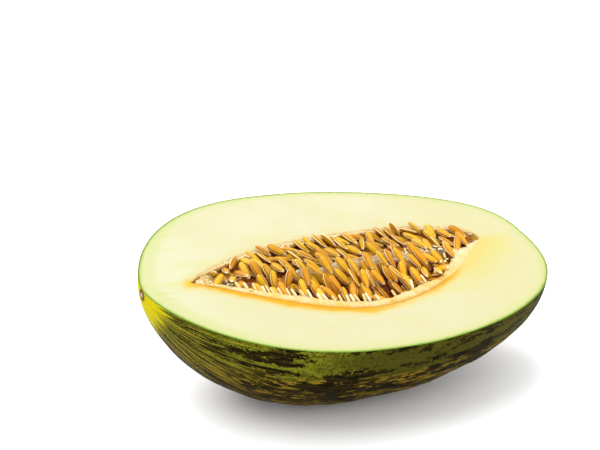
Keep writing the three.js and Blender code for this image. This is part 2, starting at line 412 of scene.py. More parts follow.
def make_fruit():
    """The rind from a bent grid, then rings drawn in from its rim over the face and the cavity."""
    fruit, u, v = grid("half_melon", STATIONS, ROUNDS)
    t = np.sin(u * np.pi / 2)
    part = (v + 1) / 2
    fade = np.clip(np.minimum(part, 1 - part) / RIM_FADE, 0, 1)
    x, y, z, angle = rind(t, part, rind_swell(t, part) * fade * np.sqrt(1 - t * t))
    put_points(fruit, np.stack([x, y, z], 1))
    put_values(fruit, "along", t)
    put_values(fruit, "around", angle)
    put_values(fruit, "side", np.where(part < 0.5, -1.0, 1.0))
    activate(fruit)
    merge()

    edit(
        lambda: bpy.ops.mesh.select_all(action="DESELECT"),
        lambda: bpy.ops.mesh.select_non_manifold(),
    )
    rim = chosen(fruit)
    outline = points_of(fruit)[rim]
    rim_along = values_of(fruit, "along")[rim]
    add_rings(fruit, rim_along.min(), rim_along.max())
    merge()
    outward()

    points = points_of(fruit)
    mark_face(fruit, points, outline)
    mark_flesh(fruit, outline)
    points = to_part(points)
    points[:, 2] = np.maximum(points[:, 2], 0)
    put_points(fruit, points)
    bpy.ops.object.shade_smooth_by_angle(angle=FRUIT_CORNERS)
    return fruit


# ---- The pulp: a closed bed that lines the cavity, with a pale skin standing along its ridge ----
PULP_COLUMNS = 230
PULP_ROWS = 110
PULP_END = 0.978
PULP_ROUGHNESS, PULP_SAG = 0.8 * MM, 0.5 * MM
PULP_HIGHEST, PULP_THINNEST = -0.3 * MM, 0.25 * MM
RIDGE_CREST = 4.8 * MM
RIDGE_HALF = 1.9 * MM
RIDGE_SPAN, RIDGE_FADE = (-0.4, 0.78), 0.12
PLUG_SPAN, PLUG_BELOW_FACE = (-0.9, -0.74), 0.6 * MM


def ridge_share(s, v):
    """How much of the pale skin stands at a place: 1 on the ridge's crest, 0 away from it."""
    wander = RIDGE_ACROSS + 1.2 * MM * np.sin(7 * s) + 0.6 * MM * np.sin(19 * s + 1)
    start, end = RIDGE_SPAN
    span = np.clip((s - start) / RIDGE_FADE, 0, 1) * np.clip((end - s) / RIDGE_FADE, 0, 1)
    return np.exp(-(((v - wander) / RIDGE_HALF) ** 2)) * span


def make_pulp():
    pulp, u, w = grid("pulp", PULP_COLUMNS, PULP_ROWS)
    s = PULP_END * np.sin(u * np.pi / 2)
    w = np.sin(w * np.pi / 2)
    half = CAVITY_HALF - 3 * PULP_GAP
    v = w * cavity_reach(s, w, PULP_GAP)
    x, y = face_place(s, v, half)
    put_points(pulp, np.stack([x, y, pulp_floor(s, w)], 1))
    put_values(pulp, "s", s)
    put_values(pulp, "w", w)
    activate(pulp)
    edit_all(lambda: bpy.ops.mesh.extrude_region_move())
    top = chosen(pulp)
    s, w = values_of(pulp, "s"), values_of(pulp, "w")
    v = w * cavity_reach(s, w, PULP_GAP)
    points = points_of(pulp)
    room = np.clip(6 * bowl(s, w), 0.12, 1)
    rough = 0.9 * ripple(points, 170, 5, 4) + 0.5 * ripple(points, 520, 8, 2)
    crest = ridge_share(s, v)
    height = pulp_top(s, w, v) + (PULP_ROUGHNESS * rough - PULP_SAG) * room
    height = height + RIDGE_CREST * crest * room
    plug = np.clip((PLUG_SPAN[1] - s) / (PLUG_SPAN[1] - PLUG_SPAN[0]), 0, 1)
    height = height * (1 - plug) - PLUG_BELOW_FACE * plug
    height = np.minimum(height, PULP_HIGHEST)
    height = np.maximum(height, pulp_floor(s, w) + PULP_THINNEST * room)
    points[top, 2] = height[top]
    put_points(pulp, points)
    put_values(pulp, "crest", np.where(top, crest, 0))
    outward()
    put_points(pulp, to_part(points_of(pulp)))
    bpy.ops.object.shade_smooth()
    return pulp


# ---- Where the lips lie ----
# Shares along the cavity, and widths there in mm, of the pulp's near cut edge, of the flesh that
# reaches over the cavity beside its blossom end, and of the pulp's far edge.
NEAR_LIP = (
    [-0.92, -0.75, -0.58, -0.4, -0.2, 0, 0.12, 0.28, 0.4, 0.49],
    [1.5, 5, 6.5, 8.5, 7, 6, 6, 7.5, 7.5, 5],
)
BLOSSOM_LIP = (
    [0.46, 0.54, 0.6, 0.67, 0.72, 0.76, 0.82, 0.9, 0.985],
    [4.5, 6, 7.5, 9.5, 12, 14, 11, 5.5, 1.2],
)
FAR_LIP = ([-0.93, -0.8, -0.5, 0, 0.5, 0.9, 0.985], [0.8, 2.2, 2.4, 2.2, 2.4, 2.2, 0.8])
SEEDS_UNDER_LIP = 2


def open_reach(s, v):
    """How far seeds may lie across the cavity: a little way under the near lips."""
    lip = np.maximum(
        np.interp(s, *NEAR_LIP, left=0, right=0), np.interp(s, *BLOSSOM_LIP, left=0, right=0)
    )
    closed = np.where(np.asarray(v) < 0, np.maximum(lip - SEEDS_UNDER_LIP, 0), 0)
    return cavity_reach(s, v) - closed * MM


# ---- Seeds ----
# A seed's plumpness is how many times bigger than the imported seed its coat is, by length, width
# and thickness.
SEED_PLUMPNESS = (1.0, 1.12, 1.35)
SEED_CURVE = (2.3, 0.62)
BELLY_POWERS = (1.15, 0.9)


def make_seed_pattern():
    """One seed, lying along x with its pointed end at +x."""
    seed, points = bead("seed_pattern", segments=10, rings=9)
    along = points[:, 0]
    around = np.arctan2(points[:, 2], points[:, 1])
    girth_here = np.clip(1 - np.abs(along) ** SEED_CURVE[0], 0, 1) ** SEED_CURVE[1]
    girth_here = girth_here * (1 - SEED_TIP * (along + 1) / 2)
    across = np.cos(around) * girth_here
    belly = np.sign(np.sin(around)) * np.abs(np.sin(around)) ** BELLY_POWERS[0]
    belly = belly * girth_here ** BELLY_POWERS[1]
    long, wide, thick = (size / 2 for size in SEED_SIZE)
    put_points(seed, np.stack([along * long, across * wide, belly * thick], 1))
    put_values(seed, "rim", np.abs(np.cos(around)))
    put_values(seed, "across", across)
    put_values(seed, "tip", along)
    return smoothed(seed)


class Pile:
    """The height of what already lies in the cavity, over small cells of the cut face."""

    CELL = 0.6 * MM
    CORNER = (-112 * MM, -62 * MM)
    EXTENT = (224 * MM, 104 * MM)
    RIM_BELOW_FACE = 1.5 * MM
    SLOPE_STEP = 3 * MM

    def __init__(self):
        self.x0, self.y0 = self.CORNER
        columns, rows = (int(size / self.CELL) for size in self.EXTENT)
        self.x = self.x0 + self.CELL * np.arange(columns)[:, None] + np.zeros((1, rows))
        self.y = self.y0 + self.CELL * np.arange(rows)[None, :] + np.zeros((columns, 1))
        pulp = pulp_height(self.x, self.y)
        self.bare = pulp < 0
        self.height = np.where(self.bare, pulp, -self.RIM_BELOW_FACE)

    def cover(self, x, y, turn, size):
        """The cells under an ellipsoid of this size, and its bottom and top over them."""
        axes = np.array(turn)
        form = axes @ np.diag([1 / (0.5 * k) ** 2 for k in size]) @ axes.T
        reach = int(0.5 * max(size) / self.CELL) + 2
        i, j = int((x - self.x0) / self.CELL), int((y - self.y0) / self.CELL)
        part = (slice(max(i - reach, 0), i + reach), slice(max(j - reach, 0), j + reach))
        dx, dy = self.x[part] - x, self.y[part] - y
        b = (form[0, 2] * dx + form[1, 2] * dy) / form[2, 2]
        c = (form[0, 0] * dx ** 2 + 2 * form[0, 1] * dx * dy + form[1, 1] * dy ** 2 - 1) / form[2, 2]
        root = b * b - c
        over = root > 0
        root = np.sqrt(np.clip(root, 0, None))
        return part, over, -b - root, -b + root

    def gain(self, x, y, turn, size):
        """How many bare cells it would hide."""
        part, over, _, _ = self.cover(x, y, turn, size)
        return np.count_nonzero(over & self.bare[part])

    def rest(self, x, y, turn, size):
        """The height at which it rests, sunk a little into the pile."""
        part, over, low, _ = self.cover(x, y, turn, size)
        return np.max(np.where(over, self.height[part] - low, -1)) - SEED_SINKS

    def add(self, x, y, z, turn, size):
        part, over, _, high = self.cover(x, y, turn, size)
        before = self.height[part]
        self.height[part] = np.where(over, np.maximum(before, z + high), before)
        self.bare[part] &= ~over

    def slope(self, x, y):
        """The way that the pulp's surface faces, over a few millimetres."""
        step = self.SLOPE_STEP
        dx = (pulp_height(x + step, y) - pulp_height(x - step, y)) / (2 * step)
        dy = (pulp_height(x, y + step) - pulp_height(x, y - step)) / (2 * step)
        return Vector((-float(dx), -float(dy), 1)).normalized()


def cad_seed_places():
    """Centre and axes of each packed seed, in the cut frame: length to the tip, width, thickness."""
    places = {}
    for name, node in frame["nodes"].items():
        if not name.startswith("seed_"):
            continue
        points = to_cut(np.unique(np.round(points_of(node), 7), axis=0))
        centre = points.mean(0)
        _, vectors = np.linalg.eigh(np.cov((points - centre).T))
        long, thick = vectors[:, 2], vectors[:, 0]
        reach = (points - centre) @ long
        girths = np.linalg.norm((points - centre) - reach[:, None] * long, axis=1)
        if girths[reach > 0].mean() > girths[reach < 0].mean():
            long, reach = -long, -reach
        centre = centre + long * (reach.max() + reach.min()) / 2
        if thick[2] < 0:
            thick = -thick
        places[name] = (centre, np.stack([long, np.cross(thick, long), thick], 1))
    return places


def place_copy(pattern, name, centre, turn, tone, stretch):
    """A copy of a pattern, with its own mesh, laid in the part's frame."""
    copy = bpy.data.objects.new(name, pattern.data.copy())
    bpy.context.scene.collection.objects.link(copy)
    shape = points_of(pattern) * np.array(stretch)
    put_points(copy, to_part(shape @ np.array(turn).T + np.asarray(centre)))
    put_values(copy, "tone", np.full(len(copy.data.vertices), tone))
    return copy


def join(objects, name):
    deselect()
    for obj in objects:
        obj.select_set(True)
    bpy.context.view_layer.objects.active = objects[0]
    bpy.ops.object.join()
    return named(name)


# Each bank of extra seeds: the distances in mm across the cavity (none: a band along the far
# edge) and the shares along it that it spans, the most seeds it takes, and in degrees the mean
# and the spread of their headings and of how far their tips point down.
MORE_SEEDS = [
    ("far_bank", (1.5, 27), (-0.66, 0.97), 116, (-66, 20), (7, 10)),
    ("trough", (-44, -25), (-0.6, 0.55), 26, (-80, 22), (4, 10)),
    ("near_bank", (-27, -2.5), (-0.62, 0.84), 92, (-84, 13), (5, 10)),
    ("stem_end", (-20, 14), (-0.84, -0.5), 42, (-112, 30), (-26, 18)),
    ("far_rim", None, (-0.78, 0.95), 50, (-55, 18), (5, 8)),
]
RIM_BAND = (0.7 * MM, 4.4 * MM)
WALL_ROOM = 3.0 * MM
BARE_RIDGE, BARE_HALF = (-0.12, 0.34), 4.6 * MM
ROLL = (0, 24)
SEED_SCALES = (0.88, 1.04)
SEED_SINKS = 0.25 * MM
SEED_ABOVE_FACE = 0.9 * MM
LEAST_HIDDEN = 8
TRIES_EACH = 40


def heading_turn(up, heading, tip_down, roll):
    """A turn that lays +x along a heading on a slope, tip lowered, and rolled about its length."""
    long = Vector((math.cos(heading), math.sin(heading), 0))
    long = (long - up * long.dot(up)).normalized()
    basis = Matrix((long, up.cross(long), up)).transposed()
    return np.array(basis @ Matrix.Rotation(tip_down, 3, "Y") @ Matrix.Rotation(roll, 3, "X"))


def make_bank(pattern, pile, chance, name, across, along, count, heading, tip_down):
    """Drops seeds one at a time, each where it hides the most bare pulp of a few places tried."""
    seeds = []
    for _ in range(count):
        best = None
        for _ in range(TRIES_EACH):
            s = chance.uniform(*along)
            if across is None:
                v = float(cavity_reach(s, 1.0)) - chance.uniform(*RIM_BAND)
            else:
                v = chance.uniform(*across) * MM
            if across is not None and abs(v) > float(open_reach(s, v)) - WALL_ROOM:
                continue
            if BARE_RIDGE[0] < s < BARE_RIDGE[1] and abs(v) < BARE_HALF:
                continue
            x, y = (float(k) for k in face_place(s, v))
            turn = heading_turn(
                pile.slope(x, y),
                math.radians(chance.gauss(*heading)),
                math.radians(chance.gauss(*tip_down)),
                math.radians(chance.gauss(*ROLL)),
            )
            scale = chance.uniform(*SEED_SCALES)
            size = [k * p * scale for k, p in zip(SEED_SIZE, SEED_PLUMPNESS)]
            hidden = pile.gain(x, y, turn, size)
            if best is not None and hidden <= best[0]:
                continue
            z = pile.rest(x, y, turn, size)
            if z < SEED_ABOVE_FACE:
                best = (hidden, x, y, z, turn, size)
        if best is None or best[0] < LEAST_HIDDEN:
            continue
        _, x, y, z, turn, size = best
        pile.add(x, y, z, turn, size)
        stretch = [a / b for a, b in zip(size, SEED_SIZE)]
        seeds.append(place_copy(pattern, f"more_{name}", (x, y, z), turn, chance.random(), stretch))
    return join(seeds, f"more_seeds_{name}") if seeds else None


def make_seeds():
    """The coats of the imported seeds, each with its node's name, and the banks of extra seeds."""
    chance = random.Random(11)
    pattern = make_seed_pattern()
    pile = Pile()
    single = []
    for name, (centre, turn) in sorted(cad_seed_places().items()):
        size = [k * p for k, p in zip(SEED_SIZE, SEED_PLUMPNESS)]
        pile.add(*centre, turn, size)
        single.append((
            place_copy(pattern, f"{name}_coat", centre, turn, chance.random(), SEED_PLUMPNESS), name
        ))
    groups = [make_bank(pattern, pile, chance, *bank) for bank in MORE_SEEDS]
    groups = [group for group in groups if group]
    bpy.data.objects.remove(pattern)
    return single, groups


# ---- The pulp's lips, the seeds' stalks, and scraps of skin ----
LIP_COLUMNS, LIP_ROWS = 420, 16
LIP_THICKNESS = 1.8 * MM
LIP_ROOT = 0.6 * MM
LIP_TAPER = 0.03
LIP_SINKS = 0.3
LIP_DROOP, DROOP_FROM, DROOP_OVER = 1.4, 0.8, 0.2
LIP_CORNERS = math.radians(60)


def make_lip(name, side, widths, bulge, fray_share):
    """A frayed band along one edge of the cavity, rooted in the flesh. Its heights are in mm."""
    lip, u, w = grid(name, LIP_COLUMNS, LIP_ROWS)
    start, end = widths[0][0], widths[0][-1]
    s = start + (end - start) * (u + 1) / 2
    w = (w + 1) / 2
    ends = np.clip(np.minimum(s - start, end - s) / LIP_TAPER, 0, 1) ** 0.5
    fray = 0.5 * np.sin(43 * s) + 0.35 * np.sin(91 * s + 2)
    fray = fray + 0.3 * np.sin(173 * s) + 0.2 * np.sin(311 * s)
    wide = np.interp(s, *widths) * MM * ends * (1 + fray_share * fray)
    v = side * (cavity_reach(s, side) + LIP_ROOT - w * (wide + LIP_ROOT))
    x, y = face_place(s, v)
    droop = LIP_DROOP * (np.clip(w - DROOP_FROM, 0, 1) / DROOP_OVER) ** 2
    arch = bulge * np.clip(np.sin(np.pi * w), 0, 1) ** 0.6 - droop
    points = np.stack([x, y, np.zeros_like(x)], 1)
    lumps = 0.25 * ripple(points, 330, 2, 3) + 0.35 * ripple(points, 120, 6, 2)
    height = (arch - LIP_SINKS + lumps * np.sin(np.pi * w)) * MM
    put_points(lip, to_part(np.stack([x, y, height], 1)))
    put_values(lip, "inward", w)
    activate(lip)
    wall = lip.modifiers.new("wall", "SOLIDIFY")
    wall.thickness = LIP_THICKNESS
    wall.offset = side
    bpy.ops.object.modifier_apply(modifier="wall")
    outward()
    bpy.ops.object.shade_smooth_by_angle(angle=LIP_CORNERS)
    return lip


def make_stalk_pattern():
    """One seed stalk, a blunt thread from its root at the origin to its end at x = 1."""
    stalk, points = bead("stalk_pattern", segments=8, rings=7)
    thin = np.maximum(1 - points[:, 0] ** 2, 0.001) ** -0.3
    x, y, z = points[:, 0] / 2 + 0.5, points[:, 1] * thin, points[:, 2] * thin
    put_points(stalk, np.stack([x, y, z], 1))
    return smoothed(stalk)


def lay_stalk(pattern, chance, s, v, z, heading, rise, size):
    """Lays one stalk from (s, v, z), heading across the cut and rising out of it, in degrees."""
    x, y = (float(k) for k in face_place(s, v))
    heading, rise = math.radians(heading), math.radians(rise)
    long = Vector((
        math.cos(heading) * math.cos(rise), math.sin(heading) * math.cos(rise), math.sin(rise)
    ))
    side = Vector((0, 0, 1)).cross(long).normalized()
    turn = np.array(Matrix((long, side, long.cross(side))).transposed())
    return place_copy(pattern, "stalk", (x, y, z), turn, chance.random(), [k * MM for k in size])


# Where the seeds' stalks stand along the lip: the span, and the gap from one to the next. Their
# lengths, widths and thicknesses are ranges in mm, and their headings and rises have a mean and
# a spread in degrees.
STALK_ROWS = [((-0.72, -0.28), 0.042), ((-0.26, 0.0), 0.032), ((0.04, 0.42), 0.12)]
STALK_LENGTHS, STALK_WIDTHS, STALK_THICKNESSES = (6.5, 8.8), (0.75, 1.1), (0.6, 0.9)
STALK_HEADING, STALK_RISE = (112, 9), (44, 8)
STALK_GAPS = (0.85, 1.2)
STALK_UNDER_LIP = 1.6
STALK_ROOT = -2.2 * MM

# Longer pale strands between the seeds of the near bank: share along, distance across in mm.
STRAND_LENGTHS, STRAND_WIDTHS, STRAND_THICKNESS = (10, 14), (0.7, 1.0), 0.5
STRAND_HEADING, STRAND_RISE = (110, 8), (32, 5)
STRAND_ABOVE_PULP = 3.8 * MM
STRANDS = [(-0.02, -30), (0.0, -36), (0.045, -29), (0.09, -33), (0.16, -27), (0.34, -31),
           (0.37, -30), (0.4, -29), (0.2, -16), (0.1, -12), (0.3, -12), (-0.12, -33)]

# Small pale scraps: shares along, distances across in mm (none: at the far edge), how many of
# them, and their lengths in mm.
SCRAP_WIDTHS, SCRAP_THICKNESSES = (0.4, 0.9), (0.4, 0.8)
SCRAP_RISES = (0, 40)
SCRAP_SPREAD = (0, 2.2)
SCRAP_AT_EDGE, SCRAP_INSIDE = -0.9 * MM, -1.8 * MM
SCRAPS = [
    ((-0.8, 0.97), None, 26, (2, 4.5)),
    ((0.3, 0.76), (-6, 4), 30, (2.5, 5)),
    ((0.5, 0.7), (-27, -12), 10, (2.5, 4.5)),
    ((0.38, 0.5), (-38, -32), 12, (2, 4)),
    ((-0.9, -0.7), (-10, 4), 8, (2, 4)),
]


def make_stalks():
    """The stalks, strands and scraps, as one piece."""
    chance = random.Random(5)
    pattern = make_stalk_pattern()
    stalks = []
    for (start, end), step in STALK_ROWS:
        s = start
        while s < end:
            shown = float(np.interp(s, *NEAR_LIP)) - STALK_UNDER_LIP
            v = -float(cavity_reach(s, -1.0)) + shown * MM
            size = [chance.uniform(*k) for k in (STALK_LENGTHS, STALK_WIDTHS, STALK_THICKNESSES)]
            lie = [chance.gauss(*k) for k in (STALK_HEADING, STALK_RISE)]
            stalks.append(lay_stalk(pattern, chance, s, v, STALK_ROOT, *lie, size))
            s += step * chance.uniform(*STALK_GAPS)
    for s, across in STRANDS:
        z = float(pulp_height(*face_place(s, across * MM))) + STRAND_ABOVE_PULP
        size = [chance.uniform(*k) for k in (STRAND_LENGTHS, STRAND_WIDTHS)] + [STRAND_THICKNESS]
        lie = [chance.gauss(*k) for k in (STRAND_HEADING, STRAND_RISE)]
        stalks.append(lay_stalk(pattern, chance, s, across * MM, z, *lie, size))
    for along, across, count, lengths in SCRAPS:
        for _ in range(count):
            s = chance.uniform(*along)
            v = float(cavity_reach(s, 1.0)) if across is None else chance.uniform(*across) * MM
            v -= chance.uniform(*SCRAP_SPREAD) * MM
            z = SCRAP_AT_EDGE if across is None else SCRAP_INSIDE
            size = [chance.uniform(*k) for k in (lengths, SCRAP_WIDTHS, SCRAP_THICKNESSES)]
            lie = [chance.uniform(*k) for k in ((0, 360), SCRAP_RISES)]
            stalks.append(lay_stalk(pattern, chance, s, v, z, *lie, size))
    bpy.data.objects.remove(pattern)
    return join(stalks, "seed_stalks")


# ---- Materials ----
# The studio's light is this much brighter than one that shows a pale thing at its own colour.
# What lies in the cavity's shade is painted for the weaker light there.
BRIGHTNESS = 1.7
PULP_LIGHT, RIDGE_LIGHT, RIM_LIGHT, STALK_LIGHT = 1.2, 1.02, 1.2, 1.3
SUNK_SEED_LIGHTS = (1.2, 1.3)


def colour(code, light=BRIGHTNESS):
    """The shader's colour for one written as six hex digits, which it has in that light."""
    parts = [int(code[k:k + 2], 16) / 255 for k in (0, 2, 4)]
    parts = [p / 12.92 if p <= 0.04045 else ((p + 0.055) / 1.055) ** 2.4 for p in parts]
    return tuple(p / light for p in parts) + (1.0,)


def sum_of(operation, swapped=False):
    """A Python operator that adds one Math node."""
    def act(value, other):
        first, second = (other, value) if swapped else (value, other)
        return value.paint.node("ShaderNodeMath", {"operation": operation}, first, second)
    return act


class Value:
    """One socket of a material, so that sums on sockets read as sums."""

    def __init__(self, paint, link):
        self.paint, self.link = paint, link

    __add__, __radd__ = sum_of("ADD"), sum_of("ADD", swapped=True)
    __sub__, __rsub__ = sum_of("SUBTRACT"), sum_of("SUBTRACT", swapped=True)
    __mul__, __rmul__ = sum_of("MULTIPLY"), sum_of("MULTIPLY", swapped=True)


class Paint:
    """A procedural material, built a node at a time, with its colour laid over in layers."""

    def __init__(self, name, base=None):
        self.base = base
        self.material = bpy.data.materials.new(name)
        self.material.use_nodes = True
        self.tree = self.material.node_tree
        self.shader = self.tree.nodes["Principled BSDF"]

    def node(self, kind, settings, *values, out=0, **sockets):
        node = self.tree.nodes.new(kind)
        for name, value in settings.items():
            setattr(node, name, value)
        for socket, value in zip(node.inputs, values):
            self.feed(socket, value)
        for name, value in sockets.items():
            self.feed(next(i for i in node.inputs if i.identifier == name), value)
        return Value(self, node.outputs[out])

    def feed(self, socket, value):
        if isinstance(value, Value):
            self.tree.links.new(value.link, socket)
        elif value is not None:
            socket.default_value = value

    def kept(self, name):
        """A value that the mesh keeps at each point."""
        return self.node("ShaderNodeAttribute", {"attribute_name": name}, out=2)

    def place(self):
        """The place on the part, turned into the cut frame."""
        here = self.node("ShaderNodeTexCoord", {}, out=3)
        settings = {"vector_type": "TEXTURE"}
        return self.node("ShaderNodeMapping", settings, here, tuple(CENTRE), (TIP, 0, 0))

    def vector(self, x, y, z):
        return self.node("ShaderNodeCombineXYZ", {}, x, y, z)

    def split(self, vector):
        return [self.node("ShaderNodeSeparateXYZ", {}, vector, out=k) for k in range(3)]

    def stretch(self, vector, scale, shift=(0, 0, 0)):
        return self.node("ShaderNodeMapping", {}, vector, shift, (0, 0, 0), scale)

    def noise(self, vector, scale, detail=3.0, rough=0.55, bend=0.0):
        return self.node(
            "ShaderNodeTexNoise", {}, Vector=vector, Scale=scale, Detail=detail,
            Roughness=rough, Distortion=bend,
        )

    def rise(self, value, low, high, start=0.0, end=1.0):
        """Goes smoothly from start to end as the value goes from low to high."""
        return self.node(
            "ShaderNodeMapRange", {"interpolation_type": "SMOOTHSTEP"}, value, low, high, start, end
        )

    def fall(self, value, low, high):
        """Goes smoothly from 1 to 0 as the value goes from low to high."""
        return self.rise(value, low, high, 1.0, 0.0)

    def mix(self, first, second, share):
        return self.node(
            "ShaderNodeMix", {"data_type": "RGBA"}, out=2,
            Factor_Float=share, A_Color=first, B_Color=second,
        )

    def over(self, layer, share, light=BRIGHTNESS):
        """Lays a colour, by its six digits, or another mix over the base."""
        if isinstance(layer, str):
            layer = colour(layer, light)
        self.base = self.mix(self.base, layer, share)

    def bump(self, height, distance, strength=1.0):
        return self.node("ShaderNodeBump", {}, Strength=strength, Distance=distance, Height=height)

    def finish(self, rough, normal=None, **constants):
        """Feeds the shader, whose other sockets take constants by their names."""
        self.feed(self.shader.inputs["Base Color"], self.base)
        self.feed(self.shader.inputs["Roughness"], rough)
        self.feed(self.shader.inputs["Normal"], normal)
        for name, value in constants.items():
            self.shader.inputs[name.replace("_", " ")].default_value = value
        return self.material


def rind_paint():
    """Dark green skin, mottled lengthwise, with golden lines that meet at a bare yellow stem end."""
    paint = Paint("melon_rind")
    along, around = paint.kept("along"), paint.kept("around")
    cosine = paint.node("ShaderNodeMath", {"operation": "COSINE"}, around)
    sine = paint.node("ShaderNodeMath", {"operation": "SINE"}, around)
    skin = paint.vector(along * 1.6, cosine, sine)
    place = paint.place()
    _, _, height = paint.split(place)

    blotch = paint.noise(paint.stretch(skin, (1, 3.0, 3.0)), 2.7, 3, 0.6, 0.3)
    ragged = paint.noise(paint.stretch(skin, (1, 1.9, 1.9), (7, 3, 1)), 12, 5, 0.72, 0.3)
    speck = paint.noise(place, 700, 2, 0.6)
    flecks = paint.noise(paint.stretch(skin, (1, 4.5, 4.5), (2, 0, 5)), 10, 4, 0.7, 0.35)
    lines = paint.noise(paint.stretch(skin, (0.45, 13, 13), (0, 4, 0)), 3.6, 4, 0.6, 0.2)
    fine = paint.noise(paint.stretch(skin, (0.6, 24, 24), (3, 1, 2)), 3.4, 3, 0.6, 0.2)

    low = paint.fall(height, -0.06, -0.028)
    rim = paint.rise(height + (blotch - 0.5) * 0.022, -0.026, -0.01)
    stem = paint.fall(along, -0.93, -0.5)
    blossom = paint.rise(along, 0.25, 0.9)

    duller = paint.rise(along + (blotch - 0.5) * 0.5, -0.5, -0.16)
    mark = blotch * 0.56 + ragged * 0.36 + (speck - 0.5) * 0.14 + rim * 0.038
    mark = mark + low * 0.01 - duller * rim * 0.02
    patchy = paint.rise(mark, 0.462, 0.49)
    sunny = paint.rise(speck * 0.7 + ragged * 0.5, 0.45, 0.75)
    green = paint.mix(colour("4C4E0A"), colour("858620"), sunny)
    green = paint.mix(green, colour("413E10"), duller * 0.85)
    gold = paint.mix(colour("2A1E06"), colour("957C22"), paint.rise(flecks, 0.48, 0.56))
    light = paint.mix(green, gold, paint.fall(rim + (blotch - 0.5) * 0.8, 0.1, 0.75))
    dark = paint.mix(colour("0E0D02"), colour("30260A"), paint.rise(flecks, 0.46, 0.58))
    paint.base = paint.mix(dark, light, patchy)
    paint.over("1C1802", stem * (0.2 + low * 0.4))

    thread = paint.rise(lines * 0.5 + fine * 0.5, 0.53, 0.565)
    paint.over("8A741C", thread * (0.08 + low * 0.6 + blossom * 0.35))
    groove = paint.fall(lines * 0.6 + ragged * 0.4, 0.44, 0.49)
    paint.over("1A1805", groove * (stem * 0.85 + low * 0.3))
    streak = paint.rise(fine * 0.8 + lines * 0.2, 0.56, 0.58)
    paint.over("D2C33A", streak * paint.fall(along, -0.93, -0.55) * 0.9)

    bare = paint.fall(along + (lines - 0.5) * 0.16 + (blotch - 0.5) * 0.06, -0.975, -0.95)
    paint.over("EAD90A", bare)
    scar = paint.fall(along + (speck - 0.5) * 0.003, -0.9978, -0.9955)
    paint.over("8A5A20", scar)
    pith = paint.fall(along, -0.9996, -0.9988)
    paint.over("EAD9AE", pith)
    paint.over("7A5A26", paint.rise(along, 0.9978, 0.999))

    bumps = streak * stem * 0.9 + lines * (0.2 + stem) + speck * 0.2 + flecks * 0.3
    normal = paint.bump(bumps, 0.0005, 0.6)
    rough = paint.rise(speck + ragged * 0.4, 0.5, 0.9, 0.42, 0.6)
    return paint.finish(rough, normal, Specular_IOR_Level=0.012)


def flesh_paint():
    """Pale juicy flesh: a green skin line at the rim, ivory inside, yellow beside the cavity."""
    paint = Paint("melon_flesh")
    place = paint.place()
    x, y, height = paint.split(place)
    rind_gap, cavity_gap = paint.kept("from_rind"), paint.kept("from_cavity")
    far = paint.rise(y + x * 0.07, -0.007, 0.005)
    cloud = paint.noise(place, 26, 3, 0.5)
    grain = paint.noise(place, 230, 4, 0.6)
    fibre = paint.noise(paint.stretch(place, (0.3, 2.4, 1)), 60, 4, 0.62, 0.6)
    stem = paint.fall(x, -0.125, -0.07)
    blossom = paint.rise(x, 0.04, 0.085)
    near = 1 - far

    paint.base = paint.mix(colour("E9E5BE"), colour("E5E0B0"), paint.rise(cloud, 0.35, 0.65))
    paint.over("E2DDAC", near * 0.6)
    paint.over("E7E8C2", stem * 0.7)
    paint.over("E4DEA6", blossom * 0.7)
    paint.over("D8E29A", paint.rise(fibre, 0.48, 0.66) * (0.1 + stem * 0.5))
    blush = paint.rise(cloud * 0.6 + fibre * 0.4, 0.5, 0.62) * paint.fall(cavity_gap, 0.005, 0.03)
    paint.over("E8E08C", blush * 0.55)

    reach = rind_gap + (cloud - 0.5) * 0.006 - stem * 0.005
    paint.over("D6DC86", paint.fall(reach, 0.001, 0.009) * 0.55)
    paint.over("B9CE60", paint.fall(rind_gap + (grain - 0.5) * 0.002, 0.0006, 0.003))
    paint.over("6F9A20", paint.fall(rind_gap + (grain - 0.5) * 0.001, 0.0005, 0.0014))

    halo = paint.fall(cavity_gap + (cloud - 0.5) * 0.008 + (grain - 0.5) * 0.006, 0.001, 0.0095)
    paint.over("E9DEA6", halo * far * 0.75)
    edge = paint.fall(cavity_gap + (grain - 0.5) * 0.0045, 0.0, 0.0032)
    paint.over("E0AE4C", edge * far * 0.8)

    glow = paint.fall(cavity_gap + (fibre - 0.5) * 0.02, 0.001, 0.03) * blossom * near
    paint.over("E9D95C", glow * 0.65)
    strong = paint.fall(x, -0.03, 0.03) + paint.rise(x, 0.02, 0.045)
    wet = cavity_gap + (grain - 0.5) * 0.003 + (cloud - 0.5) * 0.01 - strong * 0.0022
    paint.over("EDD77C", paint.fall(wet, 0.001, 0.008) * near * 0.8)
    amber = paint.fall(wet, 0.0, 0.0038) * near * (0.35 + strong * 0.65)
    paint.over("F0B400", amber * paint.fall(x, 0.05, 0.075))
    line = paint.fall(cavity_gap + (grain - 0.5) * 0.001, 0.0004, 0.0016)
    paint.over("E8980C", line * near * paint.fall(x, 0.046, 0.06))
    tip = paint.fall(x + (fibre - 0.5) * 0.008, -0.104, -0.099) * paint.fall(cavity_gap, 0.001, 0.006)
    paint.over("ECD22A", tip * 0.8)
    # The cavity's wall below the face: its own orange, painted lighter to offset the shade that falls
    # there.
    paint.over("F0B848", paint.fall(height, -0.0025, -0.0004))

    normal = paint.bump(grain * 0.6 + fibre * 0.5 + cloud * 0.4, 0.0004, 0.35)
    rough = paint.rise(grain, 0.35, 0.7, 0.34, 0.5)
    return paint.finish(
        rough, normal, Subsurface_Weight=0.2, Subsurface_Scale=0.003,
        Subsurface_Radius=(1.0, 0.85, 0.45), Specular_IOR_Level=0.16,
    )


